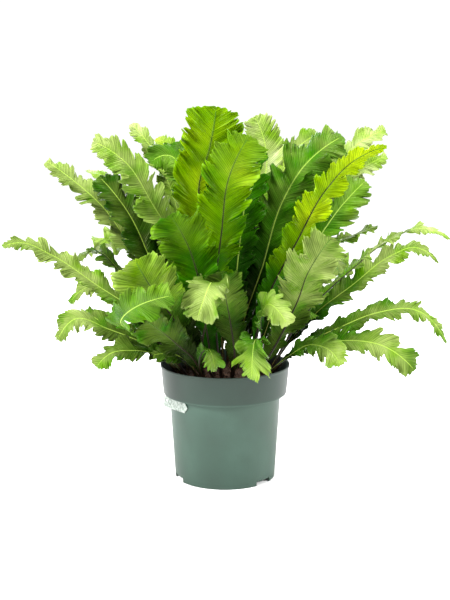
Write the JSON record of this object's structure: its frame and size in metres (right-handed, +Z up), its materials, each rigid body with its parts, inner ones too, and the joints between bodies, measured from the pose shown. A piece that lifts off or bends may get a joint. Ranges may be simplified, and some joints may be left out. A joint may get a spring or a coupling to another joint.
{
  "type": "potted bird's-nest fern",
  "caption": "Bushy fern with long glossy lobed and waved fronds that rise and arch out of a tapered plastic nursery pot with a wide band.",
  "frame": {"origin": "centre of the pot's underside, on the surface that it stands on", "axes": "+Z up along the pot's axis; the side that the picture shows faces -Y, with +X to its right"},
  "size_m": [0.7041, 0.6087, 0.6018],
  "materials": {
    "frond_leaf": "satin",
    "pot_plastic": "satin",
    "tag_plastic": "satin",
    "peat": "matte",
    "rootstock_scale": "matte"
  },
  "bodies": {
    "root": {"pot": "pot_plastic", "tag": "tag_plastic", "soil": "peat", "rootstock": "rootstock_scale", "frond_01": "frond_leaf", "frond_02": "frond_leaf", "frond_03": "frond_leaf", "frond_04": "frond_leaf", "frond_05": "frond_leaf", "frond_06": "frond_leaf", "frond_07": "frond_leaf", "frond_08": "frond_leaf", "frond_09": "frond_leaf", "frond_10": "frond_leaf", "frond_11": "frond_leaf", "frond_12": "frond_leaf", "frond_13": "frond_leaf", "frond_14": "frond_leaf", "frond_15": "frond_leaf", "frond_16": "frond_leaf", "frond_17": "frond_leaf", "frond_18": "frond_leaf", "frond_19": "frond_leaf", "frond_20": "frond_leaf", "frond_21": "frond_leaf", "frond_22": "frond_leaf", "frond_23": "frond_leaf", "frond_24": "frond_leaf", "frond_25": "frond_leaf", "frond_26": "frond_leaf", "frond_27": "frond_leaf", "frond_28": "frond_leaf", "frond_29": "frond_leaf", "frond_30": "frond_leaf", "frond_31": "frond_leaf", "frond_32": "frond_leaf", "frond_33": "frond_leaf", "frond_34": "frond_leaf", "frond_35": "frond_leaf", "frond_36": "frond_leaf", "frond_37": "frond_leaf", "frond_38": "frond_leaf", "frond_39": "frond_leaf", "frond_40": "frond_leaf", "frond_41": "frond_leaf", "frond_42": "frond_leaf", "frond_43": "frond_leaf", "frond_44": "frond_leaf", "frond_45": "frond_leaf", "frond_46": "frond_leaf", "frond_47": "frond_leaf", "frond_48": "frond_leaf", "frond_49": "frond_leaf", "frond_50": "frond_leaf", "frond_51": "frond_leaf", "frond_52": "frond_leaf", "frond_53": "frond_leaf", "frond_54": "frond_leaf", "frond_55": "frond_leaf", "frond_56": "frond_leaf"}
  },
  "joints": []
}
